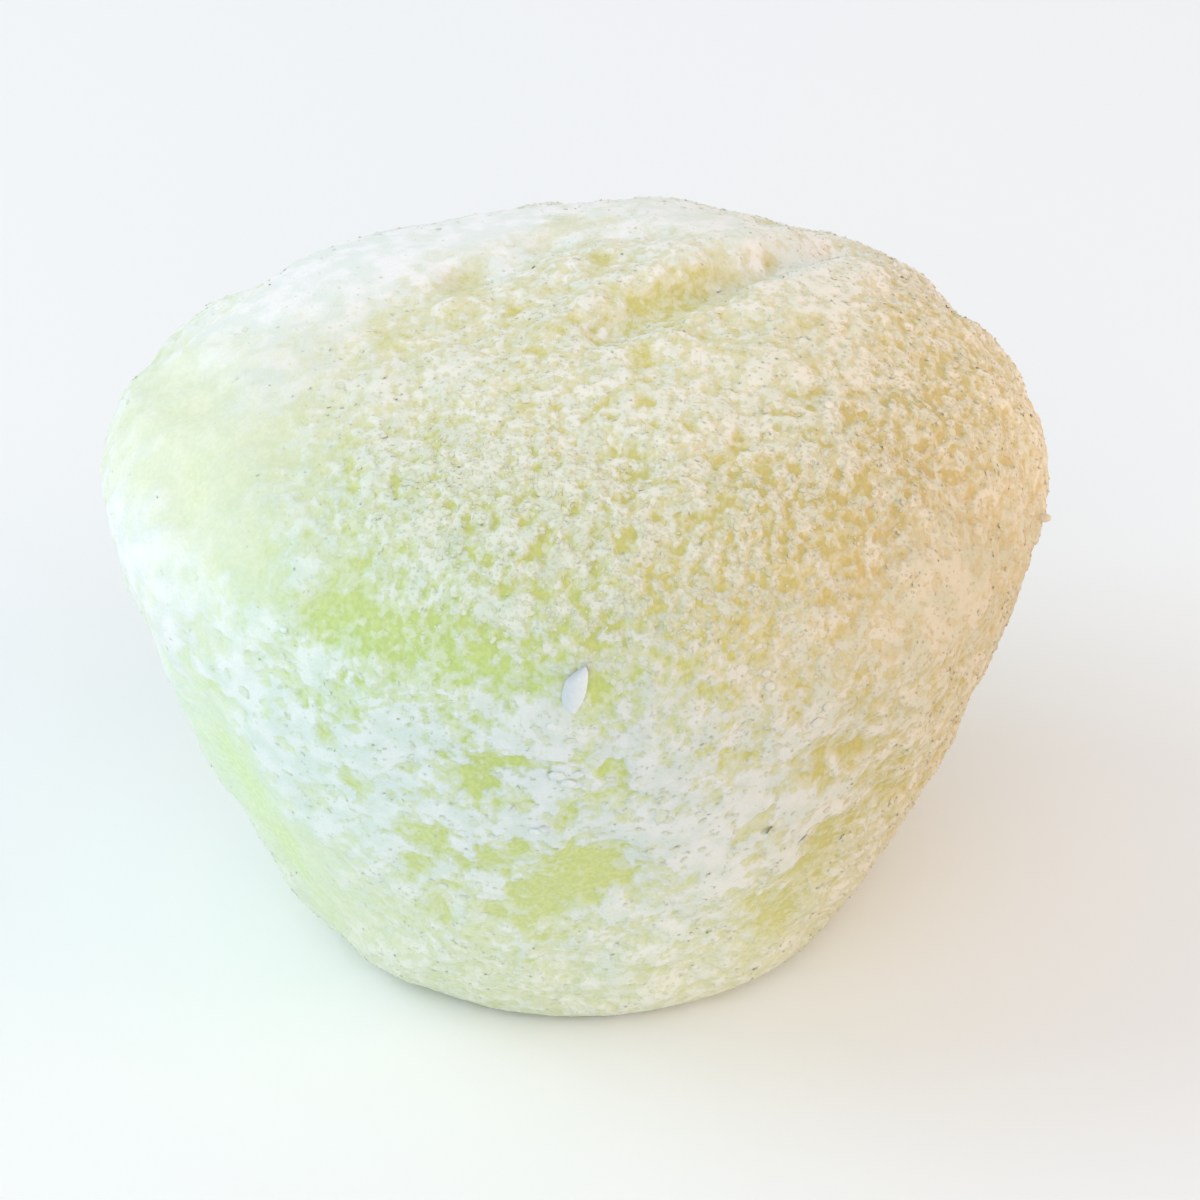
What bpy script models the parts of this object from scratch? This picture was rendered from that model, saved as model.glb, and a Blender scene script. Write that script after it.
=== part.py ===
"""Green tea mochi ice cream: one soft, lop-sided, frosted ball that stands on a small flat foot.

Lengths are in millimetres until the last step, which turns them into metres. A place on the ball is
a direction seen from inside it: an azimuth, 0 towards +X and 90 towards +Y, and a polar angle, 0
straight up and 180 straight down, both in degrees. The side that was photographed faces -Y.
"""

import math
import random

import bmesh
import bpy
import numpy as np
from mathutils import Matrix, Vector, noise

NAME = "mochi"
MM = 0.001
SEED = 31

# Bare ball
RADIUS = 24.0
OVAL = 0.05
ROUND_CORNERS = (-0.018, 0.01)
SHOULDER_HEIGHT = 23.0
SHOULDER_TILT = -1.0
SHOULDER_SOFTNESS = 0.25
TOP_HEIGHT = 33.0
DOME_FULLNESS = 2.3
DOME_RIGHT_FULLER = 0.17
DOME_BACK_FLATTER = -0.15
FLANK_FULLNESS = 2.4
FLANK_TAPER = 0.96
BELOW_FLOOR = 8.8
DOME_SHIFT = (-1.4, 1.25)
FOOT_SHIFT = -1.7
FOOT_EDGE = 2.6
SAG_INTO_FLOOR = 0.15
BALL_SUBDIVISIONS = 5

# Swellings and hollows: azimuth, polar, reach in degrees, height
SWELLINGS = (
    (90, 28, 20, -0.35),
    (25, 68, 16, -0.5),
    (52, 48, 11, -0.4),
    (-155, 138, 14, -0.3),
    (-168, 107, 10, 0.3),
    (-36, 128, 12, 0.3),
)

# Folds of the top, as lines in plan
BACK_CREASE = ((-12.5, -3.0), (-8.6, 0.9), (-6.4, 4.2), (-2.8, 8.4), (0.0, 10.3), (4.5, 10.3))
FRONT_CREASE = ((-1.3, -4.6), (0.9, -2.1), (2.7, 0.2), (5.6, 3.2), (9.7, 7.4), (12.0, 11.0), (13.3, 13.6))
BACK_CREASE_DEPTH = 0.55
FRONT_CREASE_DEPTH = 0.5
NOTCH_DEPTH = 0.7
CREASE_HALF_WIDTH = 1.4
LIP_HEIGHT = 0.35
LIP_OFFSET = 2.4
LIP_HALF_WIDTH = 1.6
FRONT_CREASE_FADE_IN = 0.15
FOLDS_FADE_FROM = 0.15
FOLDS_FADE_OVER = 0.5

# Frost crust, a thin uneven layer that is thick in some places and worn off in others
CRUST_HEIGHT = 0.5
CRUST_CLUMP = 5.0
CRUST_PATCHINESS = 0.9
CRUST_STEEPNESS = 1.6
SOFT_DENT = 0.35
SOFT_DENT_LENGTH = 11.0
FROST_USUAL = 0.5
FROST_PATCHES = (
    # azimuth, polar, half width, half height, lean, more or less frost
    (-150, 85, 14, 22, 0, 0.4),
    (-120, 106, 22, 11, 30, 0.5),
    (-92, 97, 12, 8, 0, 0.4),
    (-72, 110, 16, 14, 0, 0.5),
    (-90, 137, 60, 12, 0, 0.25),
    (150, 35, 30, 14, 0, 0.6),
    (60, 30, 15, 8, 0, 0.5),
    (-100, 34, 40, 22, 0, 0.2),
    (-35, 78, 10, 14, 0, 0.2),
    (-110, 73, 18, 7, 15, -0.6),
    (-102, 104, 7, 5, 0, -0.8),
    (-95, 121, 10, 5, 0, -0.9),
    (-140, 120, 5, 20, 0, -0.8),
    (-154, 56, 16, 16, 0, -0.5),
    (-50, 55, 25, 16, 0, -0.35),
    (-58, 105, 7, 3, 0, -0.6),
    (-57, 128, 6, 5, 0, -0.6),
)

# Frost flakes that stand out of the crust
FLAKE_COUNT = 150
FLAKE_TRIES = 60
FLAKE_LARGEST = 2.4
FLAKE_SMALLEST = 1.1
FLAKE_SHRINKING = 0.6
FLAKE_WIDTHS = (0.45, 0.9)
FLAKE_HEIGHTS = (0.42, 0.7)
FLAKE_LEAN = 9.0
FLAKE_GAP = 0.15
FLAKE_UNEVENNESS = 0.25
FLAKE_CROWDING = 1.5
FLAKE_POLAR_LIMITS = (8.0, 138.0)
# The two single flakes that catch the eye: azimuth, polar, then length, width and height
UPRIGHT_FLAKE = ((-91, 80), (1.2, 0.8, 1.9))
EDGE_FLAKE = ((-6, 88), (1.3, 0.7, 0.9))
SINGLE_FLAKE_LEAN = 12.0
SINGLE_FLAKE_TURN = 20.0

# Look
ICED_GREEN = (0.64, 0.68, 0.45, 1.0)
ICED_ROUGHNESS = 0.75
SHARP_ANGLE = 40.0


def clear_scene():
    """Start from an empty scene."""
    for thing in list(bpy.data.objects):
        bpy.data.objects.remove(thing)


def soft_floor(height, reach):
    """Height as it is above the reach, 0 below minus the reach, and a round edge between."""
    rise = np.clip((height + reach) / (2 * reach), 0.0, 1.0)
    return np.where(height > reach, height, reach * rise * rise)


def distance_from_line(x, y, line):
    """Signed distance in plan from a line, plus on its left, and the share of its length passed."""
    lengths = [math.dist(a, b) for a, b in zip(line, line[1:])]
    nearest = np.full(x.shape, np.inf)
    signed = np.zeros(x.shape)
    share = np.zeros(x.shape)
    passed = 0.0
    for start, end, length in zip(line, line[1:], lengths):
        ahead_x = (end[0] - start[0]) / length
        ahead_y = (end[1] - start[1]) / length
        along = np.clip((x - start[0]) * ahead_x + (y - start[1]) * ahead_y, 0.0, length)
        off_x = x - start[0] - along * ahead_x
        off_y = y - start[1] - along * ahead_y
        off = np.hypot(off_x, off_y)
        closer = off < nearest
        nearest = np.where(closer, off, nearest)
        signed = np.where(closer, np.sign(ahead_x * off_y - ahead_y * off_x) * off, signed)
        share = np.where(closer, (passed + along) / sum(lengths), share)
        passed += length
    return signed, share


def top_folds(x, y, upness):
    """Height added by the two creases of the top and by the soft lip behind the front one."""
    back, back_share = distance_from_line(x, y, BACK_CREASE)
    front, front_share = distance_from_line(x, y, FRONT_CREASE)
    back_fade = np.sqrt(np.sin(math.pi * np.clip(back_share, 0.0, 1.0)))
    front_fade = np.clip(front_share / FRONT_CREASE_FADE_IN, 0.0, 1.0)
    lip_fade = np.sqrt(np.sin(math.pi * np.clip(front_share, 0.0, 1.0)))
    folds = -BACK_CREASE_DEPTH * back_fade * np.exp(-((back / CREASE_HALF_WIDTH) ** 2))
    front_depth = FRONT_CREASE_DEPTH + NOTCH_DEPTH * front_share
    folds -= front_depth * front_fade * np.exp(-((front / CREASE_HALF_WIDTH) ** 2))
    folds += LIP_HEIGHT * lip_fade * np.exp(-(((front - LIP_OFFSET) / LIP_HALF_WIDTH) ** 2))
    return folds * np.clip((upness - FOLDS_FADE_FROM) / FOLDS_FADE_OVER, 0.0, 1.0)


def direction(azimuth, polar):
    """Unit vector for a place on the ball."""
    azimuth = math.radians(azimuth)
    polar = math.radians(polar)
    outness = math.sin(polar)
    return Vector((outness * math.cos(azimuth), outness * math.sin(azimuth), math.cos(polar)))


def ball_surface(directions):
    """Points of the bare ball for unit directions: a low dome over flanks that taper to the foot."""
    azimuth = np.arctan2(directions[:, 1], directions[:, 0])
    outness = np.hypot(directions[:, 0], directions[:, 1])
    upness = directions[:, 2]
    upper = upness >= 0
    reach = RADIUS * (
        1
        + OVAL * np.sin(2 * azimuth)
        + ROUND_CORNERS[0] * np.cos(3 * azimuth)
        + ROUND_CORNERS[1] * np.sin(3 * azimuth)
    )
    shoulder = SHOULDER_HEIGHT + SHOULDER_TILT * np.cos(azimuth)
    dome = DOME_FULLNESS + DOME_RIGHT_FULLER * np.cos(azimuth) + DOME_BACK_FLATTER * np.sin(azimuth)
    dome_rise = np.abs(upness) ** (2 / dome)
    flank_fall = SHOULDER_SOFTNESS * np.abs(upness)
    flank_fall += (1 - SHOULDER_SOFTNESS) * np.abs(upness) ** (2 / FLANK_TAPER)
    out = reach * np.where(upper, outness ** (2 / dome), outness ** (2 / FLANK_FULLNESS))
    x = out * np.cos(azimuth) + np.where(upper, DOME_SHIFT[0] * dome_rise, 0.0)
    y = out * np.sin(azimuth) + np.where(upper, DOME_SHIFT[1] * dome_rise, FOOT_SHIFT * flank_fall)
    dome_height = shoulder + (TOP_HEIGHT - shoulder) * dome_rise
    flank_height = shoulder - (shoulder + BELOW_FLOOR) * flank_fall
    z = soft_floor(np.where(upper, dome_height, flank_height), FOOT_EDGE) - SAG_INTO_FLOOR
    z = z + top_folds(x, y, upness)
    points = np.column_stack((x, y, z))
    for place_azimuth, place_polar, reach, height in SWELLINGS:
        middle = np.array(direction(place_azimuth, place_polar))
        away = np.degrees(np.arccos(np.clip(directions @ middle, -1.0, 1.0)))
        points += height * np.exp(-((away / reach) ** 2))[:, None] * middle
    return points


def surface_frame(azimuth, polar):
    """Point of the ball at a place, and its outward normal there."""
    step = 1.0
    places = ((azimuth, polar), (azimuth + step, polar), (azimuth, polar + step))
    here, across, down = ball_surface(np.array([direction(*place) for place in places]))
    outward = Vector(down - here).cross(Vector(across - here)).normalized()
    return Vector(here), outward


def frost_amount(azimuth, polar):
    """How much frost lies at a place, from 0 for bare dough to 1 for a thick crust."""
    amount = FROST_USUAL
    for centre, down, half_width, half_height, lean, extra in FROST_PATCHES:
        sideways = (azimuth - centre + 180) % 360 - 180
        sideways *= math.sin(math.radians(down))
        lower = polar - down
        turn = math.radians(lean)
        wide = (sideways * math.cos(turn) + lower * math.sin(turn)) / half_width
        high = (lower * math.cos(turn) - sideways * math.sin(turn)) / half_height
        amount += extra * math.exp(-wide * wide - high * high)
    return min(max(amount, 0.0), 1.0)


def place_of(vector):
    """Azimuth and polar angle of a direction."""
    azimuth = math.degrees(math.atan2(vector.y, vector.x))
    polar = math.degrees(math.acos(max(-1.0, min(1.0, vector.z))))
    return azimuth, polar


def relief(unit, point):
    """Height of the frost crust and of the soft dents at a point of the ball."""
    clumps = noise.noise(point / CRUST_CLUMP) + 0.5 * noise.noise(point * 2 / CRUST_CLUMP)
    dents = noise.noise(point / SOFT_DENT_LENGTH)
    extra_frost = frost_amount(*place_of(unit)) - FROST_USUAL
    cover = 0.5 + CRUST_STEEPNESS * (extra_frost + CRUST_PATCHINESS * clumps)
    return CRUST_HEIGHT * (min(max(cover, 0.0), 1.0) - 0.5) + SOFT_DENT * dents


def ice_material():
    """Frosted pale green dough."""
    material = bpy.data.materials.new("frosted_green")
    material.use_nodes = True
    shader = material.node_tree.nodes["Principled BSDF"]
    shader.inputs["Base Color"].default_value = ICED_GREEN
    shader.inputs["Roughness"].default_value = ICED_ROUGHNESS
    shader.inputs["Metallic"].default_value = 0.0
    return material


def make_ball(collection, material):
    """The ball with its folds and crust, cut flat where it stands."""
    shape = bmesh.new()
    bmesh.ops.create_icosphere(shape, subdivisions=BALL_SUBDIVISIONS, radius=1.0)
    units = [vertex.co.normalized() for vertex in shape.verts]
    points = ball_surface(np.array(units))
    for vertex, unit, point in zip(shape.verts, units, points):
        vertex.co = point
    shape.normal_update()
    moves = []
    for vertex, unit in zip(shape.verts, units):
        above_foot = min(max(vertex.co.z / FOOT_EDGE, 0.0), 1.0)
        moves.append(vertex.normal * relief(unit, vertex.co) * above_foot)
    for vertex, move in zip(shape.verts, moves):
        vertex.co += move
    everything = shape.verts[:] + shape.edges[:] + shape.faces[:]
    cut = bmesh.ops.bisect_plane(
        shape, geom=everything, dist=1e-4, plane_co=(0, 0, 0), plane_no=(0, 0, -1), clear_outer=True
    )
    rim = [piece for piece in cut["geom_cut"] if isinstance(piece, bmesh.types.BMEdge)]
    bmesh.ops.contextual_create(shape, geom=rim)
    bmesh.ops.recalc_face_normals(shape, faces=shape.faces)
    mesh = bpy.data.meshes.new(NAME)
    shape.to_mesh(mesh)
    shape.free()
    mesh.materials.append(material)
    ball = bpy.data.objects.new(NAME, mesh)
    collection.objects.link(ball)
    return ball


def make_flake(collection, number, place, size, lean, turn, draw):
    """One angular flake of frost, partly sunk in the crust; size is along, across and out."""
    shape = bmesh.new()
    bmesh.ops.create_icosphere(shape, subdivisions=1, radius=0.5)
    for vertex in shape.verts:
        uneven = 1 + draw.uniform(-FLAKE_UNEVENNESS, FLAKE_UNEVENNESS)
        vertex.co = Vector((vertex.co.x * size[0], vertex.co.y * size[1], vertex.co.z * size[2])) * uneven
    point, outward = surface_frame(*place)
    unit = direction(*place)
    point += outward * relief(unit, point)
    upright = Vector((0, 0, 1)).rotation_difference(outward).to_matrix().to_4x4()
    settle = Matrix.Rotation(math.radians(turn), 4, "Z") @ Matrix.Rotation(math.radians(lean), 4, "X")
    shape.transform(Matrix.Translation(point) @ upright @ settle)
    bmesh.ops.recalc_face_normals(shape, faces=shape.faces)
    mesh = bpy.data.meshes.new(f"flake_{number}")
    shape.to_mesh(mesh)
    shape.free()
    flake = bpy.data.objects.new(f"flake_{number}", mesh)
    flake.hide_render = True
    flake.display_type = "WIRE"
    collection.objects.link(flake)
    return flake


def spread_flakes(collection):
    """Flakes of falling size, more of them where the frost is thick, none touching another."""
    draw = random.Random(SEED)
    taken = []
    for place, size in (UPRIGHT_FLAKE, EDGE_FLAKE):
        make_flake(collection, len(taken), place, size, SINGLE_FLAKE_LEAN, SINGLE_FLAKE_TURN, draw)
        taken.append((surface_frame(*place)[0], max(size)))
    highest, lowest = (math.cos(math.radians(limit)) for limit in FLAKE_POLAR_LIMITS)
    for number in range(FLAKE_COUNT):
        share = number / (FLAKE_COUNT - 1)
        length = FLAKE_LARGEST + (FLAKE_SMALLEST - FLAKE_LARGEST) * share ** FLAKE_SHRINKING
        for _ in range(FLAKE_TRIES):
            place = (draw.uniform(-180, 180), math.degrees(math.acos(draw.uniform(lowest, highest))))
            chance = draw.random()
            if chance > frost_amount(*place) ** FLAKE_CROWDING:
                continue
            point, _ = surface_frame(*place)
            if any((point - other).length < (length + wide) / 2 + FLAKE_GAP for other, wide in taken):
                continue
            width = length * draw.uniform(*FLAKE_WIDTHS)
            height = draw.uniform(*FLAKE_HEIGHTS)
            turn = draw.uniform(0, 360)
            lean = draw.gauss(0, FLAKE_LEAN)
            make_flake(collection, len(taken), place, (length, width, height), lean, turn, draw)
            taken.append((point, length))
            break


def keep_largest_body(shape):
    """Drop what hangs loose from the ball."""
    waiting = set(shape.verts)
    bodies = []
    while waiting:
        start = waiting.pop()
        body = {start}
        edge_of_search = [start]
        while edge_of_search:
            vertex = edge_of_search.pop()
            for edge in vertex.link_edges:
                other = edge.other_vert(vertex)
                if other in waiting:
                    waiting.discard(other)
                    body.add(other)
                    edge_of_search.append(other)
        bodies.append(body)
    bodies.sort(key=len, reverse=True)
    for body in bodies[1:]:
        bmesh.ops.delete(shape, geom=list(body), context="VERTS")


def fuse_flakes(ball, collection):
    """Join all flakes to the ball, and put its origin under the middle of its foot."""
    union = ball.modifiers.new("fuse_flakes", "BOOLEAN")
    union.operation = "UNION"
    union.operand_type = "COLLECTION"
    union.collection = collection
    union.solver = "EXACT"
    bpy.context.view_layer.update()
    fused = bpy.data.meshes.new_from_object(ball.evaluated_get(bpy.context.evaluated_depsgraph_get()))
    ball.modifiers.clear()
    for flake in list(collection.objects):
        bpy.data.objects.remove(flake)
    bpy.data.collections.remove(collection)
    shape = bmesh.new()
    shape.from_mesh(fused)
    keep_largest_body(shape)
    corners = np.array([vertex.co for vertex in shape.verts])
    middle = (corners.min(axis=0) + corners.max(axis=0)) / 2
    foot = Vector((middle[0], middle[1], 0.0))
    bmesh.ops.translate(shape, verts=shape.verts, vec=-foot)
    bmesh.ops.scale(shape, verts=shape.verts, vec=(MM, MM, MM))
    shape.to_mesh(ball.data)
    shape.free()
    bpy.data.meshes.remove(fused)
    ball.data.shade_smooth()
    ball.data.set_sharp_from_angle(angle=math.radians(SHARP_ANGLE))


def main():
    clear_scene()
    parts = bpy.data.collections.new("mochi_ice_cream")
    flakes = bpy.data.collections.new("frost_flakes")
    for collection in (parts, flakes):
        bpy.context.scene.collection.children.link(collection)
    ball = make_ball(parts, ice_material())
    spread_flakes(flakes)
    fuse_flakes(ball, flakes)


main()
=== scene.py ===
"""Looks of the green tea mochi ice cream: dough under a granular frost crust, on a pale floor.

Lengths of the ball are in millimetres and are turned into metres when a mesh is made. A place on the
ball is a direction seen from inside it: azimuth 0 towards +X and 90 towards +Y, and polar angle 0
straight up and 180 straight down, both in degrees. The photographed side faces -Y.
"""

import math

import bmesh
import bpy
import numpy as np
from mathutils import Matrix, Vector, noise


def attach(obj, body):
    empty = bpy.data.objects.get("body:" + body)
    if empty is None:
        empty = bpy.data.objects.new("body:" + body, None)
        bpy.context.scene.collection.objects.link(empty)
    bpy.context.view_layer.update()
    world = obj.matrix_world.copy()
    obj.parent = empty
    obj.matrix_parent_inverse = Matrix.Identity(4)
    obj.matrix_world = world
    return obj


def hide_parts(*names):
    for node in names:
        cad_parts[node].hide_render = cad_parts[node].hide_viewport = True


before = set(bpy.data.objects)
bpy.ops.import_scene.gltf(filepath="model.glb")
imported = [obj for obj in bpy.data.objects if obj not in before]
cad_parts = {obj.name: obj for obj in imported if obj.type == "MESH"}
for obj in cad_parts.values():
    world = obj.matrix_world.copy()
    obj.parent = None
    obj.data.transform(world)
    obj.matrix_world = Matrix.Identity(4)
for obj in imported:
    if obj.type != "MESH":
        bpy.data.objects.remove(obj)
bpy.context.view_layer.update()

MM = 0.001
NODE = "mochi"
BODY = "root"
SEED = 31

# Bare ball, as in the solid
RADIUS = 24.0
OVAL = 0.05
ROUND_CORNERS = (-0.018, 0.01)
SHOULDER_HEIGHT = 23.0
SHOULDER_TILT = -1.0
SHOULDER_SOFTNESS = 0.25
TOP_HEIGHT = 33.0
DOME_FULLNESS = 2.3
DOME_RIGHT_FULLER = 0.17
DOME_BACK_FLATTER = -0.15
FLANK_FULLNESS = 2.4
FLANK_TAPER = 0.96
BELOW_FLOOR = 8.8
DOME_SHIFT = (-1.4, 1.25)
FOOT_SHIFT = -1.7
FOOT_EDGE = 2.6
SAG_INTO_FLOOR = 0.15
FOOT_MIDDLE = (-0.267, -0.064)

# Swellings and hollows: azimuth, polar, reach in degrees, height
SWELLINGS = (
    (90, 28, 20, -0.35),
    (25, 68, 16, -0.5),
    (52, 48, 11, -0.4),
    (-155, 138, 14, -0.3),
    (-168, 107, 10, 0.3),
    (-36, 128, 12, 0.3),
)

# Folds of the top, as lines in plan
BACK_CREASE = ((-12.5, -3.0), (-8.6, 0.9), (-6.4, 4.2), (-2.8, 8.4), (0.0, 10.3), (4.5, 10.3))
FRONT_CREASE = ((-1.3, -4.6), (0.9, -2.1), (2.7, 0.2), (5.6, 3.2), (9.7, 7.4), (12.0, 11.0), (13.3, 13.6))
BACK_CREASE_DEPTH = 0.55
FRONT_CREASE_DEPTH = 0.5
NOTCH_DEPTH = 0.7
CREASE_HALF_WIDTH = 1.4
LIP_HEIGHT = 0.35
LIP_OFFSET = 2.4
LIP_HALF_WIDTH = 1.6
FRONT_CREASE_FADE_IN = 0.15
FOLDS_FADE_FROM = 0.15
FOLDS_FADE_OVER = 0.5

# Low relief, as in the solid
CRUST_HEIGHT = 0.5
CRUST_CLUMP = 5.0
CRUST_PATCHINESS = 0.9
CRUST_STEEPNESS = 1.6
SOFT_DENT = 0.35
SOFT_DENT_LENGTH = 11.0
FROST_USUAL = 0.5
FROST_PATCHES = (
    # azimuth, polar, half width, half height, lean, more or less frost
    (-150, 85, 14, 22, 0, 0.4),
    (-120, 106, 22, 11, 30, 0.5),
    (-92, 97, 12, 8, 0, 0.4),
    (-72, 110, 16, 14, 0, 0.5),
    (-90, 137, 60, 12, 0, 0.12),
    (150, 35, 32, 18, 0, 0.5),
    (60, 32, 26, 12, 0, 0.55),
    (-100, 34, 40, 22, 0, 0.2),
    (-35, 78, 10, 14, 0, 0.2),
    (-110, 73, 18, 7, 15, -0.6),
    (-102, 104, 7, 5, 0, -0.8),
    (-95, 121, 10, 5, 0, -0.9),
    (-140, 120, 5, 20, 0, -0.8),
    (-154, 56, 16, 16, 0, -0.5),
    (-50, 55, 25, 16, 0, -0.35),
    (-58, 105, 7, 3, 0, -0.6),
    (-57, 128, 6, 5, 0, -0.6),
)

# Where the frost is granular rather than smooth powder, and where it lies in flakes
GRAIN_USUAL = 0.6
GRAIN_PATCHES = (
    # azimuth, polar, half width, half height, lean, more or less
    (-152, 60, 26, 26, 0, -0.6),
    (-150, 92, 22, 24, 0, -0.6),
    (-140, 122, 18, 16, 0, -0.5),
    (-90, 140, 70, 12, 0, -0.2),
    (160, 40, 38, 32, 0, -0.4),
    (75, 26, 40, 20, 0, -0.4),
    (-34, 83, 13, 15, 0, -0.25),
    (-5, 52, 22, 18, 0, 0.4),
    (-74, 113, 13, 10, 0, -0.2),
    (-110, 73, 16, 8, 15, 0.1),
    (-52, 50, 24, 18, 0, 0.4),
    (-102, 42, 20, 16, 0, 0.5),
    (-84, 66, 20, 12, 0, 0.3),
)
FLAKY_USUAL = 0.15
FLAKY_PATCHES = (
    (-122, 105, 24, 13, 30, 0.8),
    (-94, 100, 14, 10, 0, 0.9),
    (-74, 112, 20, 16, 0, 0.6),
    (-97, 120, 12, 8, 0, 0.5),
    (-60, 112, 14, 12, 0, 0.4),
    (-60, 40, 20, 12, 0, 0.25),
    (60, 95, 50, 20, 0, 0.4),
    (170, 100, 30, 16, 20, 0.4),
)

# Bare spots and single flakes that the photograph shows: pixel of the middle, half length and half
# width in mm, lean of the length from level to downwards on the right in degrees, more or less frost
BARE_SPOTS = (
    ((385, 635), 4.6, 1.8, 42, -0.12),
    ((350, 560), 2.4, 0.8, 90, -0.15),
    ((310, 615), 1.3, 1.0, 0, -0.2),
    # This spot, right of the standing flake, bares darker dough: partly a hollow in the frost and partly a
    # painted shadow of the flake
    ((598, 694), 1.0, 0.5, 90, -0.7),
    ((472, 770), 2.4, 1.0, 25, -0.35),
    ((438, 842), 1.4, 0.6, 15, -0.4),
    ((590, 868), 2.7, 1.3, 5, -0.26),
    ((535, 912), 2.2, 1.5, 15, -0.3),
    ((510, 842), 1.3, 0.7, 0, -0.4),
    ((440, 900), 2.2, 0.8, 60, -0.3),
    ((240, 790), 4.6, 0.7, 60, -0.2),
    ((320, 725), 1.8, 0.4, 60, -0.3),
    ((345, 770), 0.8, 0.6, 90, -0.3),
    ((855, 752), 1.9, 0.5, -8, -0.35),
    ((815, 750), 0.8, 0.6, 90, -0.35),
    ((795, 868), 1.2, 0.7, -10, -0.4),
    ((772, 918), 1.4, 0.9, -45, -0.4),
    ((830, 835), 1.5, 0.6, -60, -0.4),
    ((898, 790), 1.1, 0.5, -65, -0.35),
    ((676, 293), 3.4, 0.95, -25, -0.42),
    ((590, 225), 2.6, 0.6, 0, -0.35),
    ((462, 285), 1.5, 0.9, -45, -0.3),
    ((395, 322), 2.2, 1.3, -30, -0.2),
    ((930, 400), 3.2, 3.6, 0, -0.1),
    ((600, 540), 1.2, 0.6, 0, -0.25),
    ((490, 565), 0.45, 0.4, 0, -0.6),
    ((503, 590), 0.5, 0.35, 60, -0.6),
    ((540, 555), 0.45, 0.35, 0, -0.5),
    ((620, 553), 0.6, 0.4, 0, -0.5),
    ((645, 580), 0.5, 0.4, 90, -0.5),
    ((738, 435), 0.5, 0.35, 90, -0.7),
    ((812, 395), 0.7, 0.4, -60, -0.4),
    ((848, 422), 0.9, 0.4, -45, -0.4),
    ((890, 395), 0.8, 0.5, 0, -0.4),
    ((1005, 460), 0.6, 0.4, 60, -0.5),
    ((770, 265), 0.6, 0.35, 90, -0.5),
    ((643, 357), 0.7, 0.4, -60, -0.45),
    ((645, 405), 0.5, 0.4, 0, -0.45),
    ((595, 411), 0.6, 0.5, 0, -0.45),
    ((515, 389), 0.8, 0.4, 0, -0.4),
    ((736, 400), 0.5, 0.4, 0, -0.4),
    ((893, 315), 0.7, 0.5, 0, -0.45),
    ((808, 328), 0.9, 0.4, 0, -0.4),
    ((600, 259), 0.6, 0.45, 0, -0.45),
    ((541, 352), 0.5, 0.5, 0, -0.4),
)
SINGLE_FLAKES = (
    ((545, 718), 1.4, 0.9, 0, 0.45),
    ((548, 755), 2.4, 1.5, 90, 0.3),
    ((482, 705), 1.3, 0.5, 45, 0.5),
    ((516, 676), 0.55, 0.5, 0, 0.45),
    ((519, 648), 0.45, 0.35, 0, 0.4),
    ((383, 745), 1.6, 1.4, 90, 0.45),
    ((320, 665), 1.5, 1.0, 10, 0.35),
    ((270, 620), 1.1, 0.8, 0, 0.15),
    ((308, 575), 1.1, 0.9, 90, 0.35),
    ((255, 705), 1.8, 1.3, 60, 0.3),
    ((375, 820), 1.5, 1.0, 0, 0.35),
    ((445, 815), 1.8, 0.8, 10, 0.4),
    ((540, 828), 0.7, 0.65, 90, 0.55),
    ((510, 812), 0.5, 0.5, 0, 0.4),
    ((472, 862), 1.3, 0.3, 85, 0.6),
    ((497, 886), 1.3, 0.3, 0, 0.6),
    ((522, 868), 0.8, 0.4, -10, 0.5),
    ((562, 778), 1.1, 0.8, 0, 0.5),
    ((455, 908), 0.7, 0.5, 90, 0.4),
    ((583, 912), 0.9, 0.6, 0, 0.4),
    ((620, 908), 0.6, 0.4, 0, 0.35),
    ((690, 832), 2.3, 2.1, 90, 0.3),
    ((770, 790), 1.5, 1.0, 0, 0.3),
    ((824, 716), 1.1, 0.7, -60, 0.4),
    ((801, 640), 1.3, 0.5, 90, 0.35),
    ((502, 606), 2.0, 1.0, 10, 0.3),
    ((428, 563), 0.9, 0.6, 60, 0.35),
    ((500, 270), 0.7, 0.6, 90, 0.3),
    ((935, 600), 3.4, 2.6, -37, 0.2),
    ((830, 405), 0.6, 0.55, 0, 0.6),
    ((728, 415), 1.7, 1.5, 0, 0.3),
    ((909, 373), 0.8, 0.7, 0, 0.45),
    ((805, 267), 0.8, 0.6, 0, 0.4),
    ((461, 363), 1.0, 0.6, 0, 0.25),
)
SPOT_RAGGEDNESS = 1.1
SPOT_SHARPNESS = 1.3

# Lumps that stand out of the crust: pixel in the photograph, then length, width and height in mm
LUMPS = (
    ((771, 686), (0.55, 0.5, 0.4)),
    ((766, 674), (0.5, 0.35, 0.3)),
    ((830, 405), (0.6, 0.5, 0.3)),
    ((818, 722), (0.8, 0.5, 0.3)),
    ((828, 706), (0.6, 0.45, 0.3)),
    ((556, 776), (0.8, 0.5, 0.3)),
    ((570, 784), (0.8, 0.5, 0.3)),
    ((578, 774), (0.5, 0.4, 0.3)),
    ((545, 828), (0.5, 0.3, 0.4)),
    ((533, 832), (0.6, 0.5, 0.25)),
    ((552, 727), (0.5, 0.4, 0.25)),
    ((283, 630), (0.4, 0.3, 0.3)),
    ((1041, 517), (0.7, 0.4, 0.8)),
)
LUMP_BRIGHTNESS = 1.03
LUMP_UNEVENNESS = 0.12
LUMP_RAISED = 0.1

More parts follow.
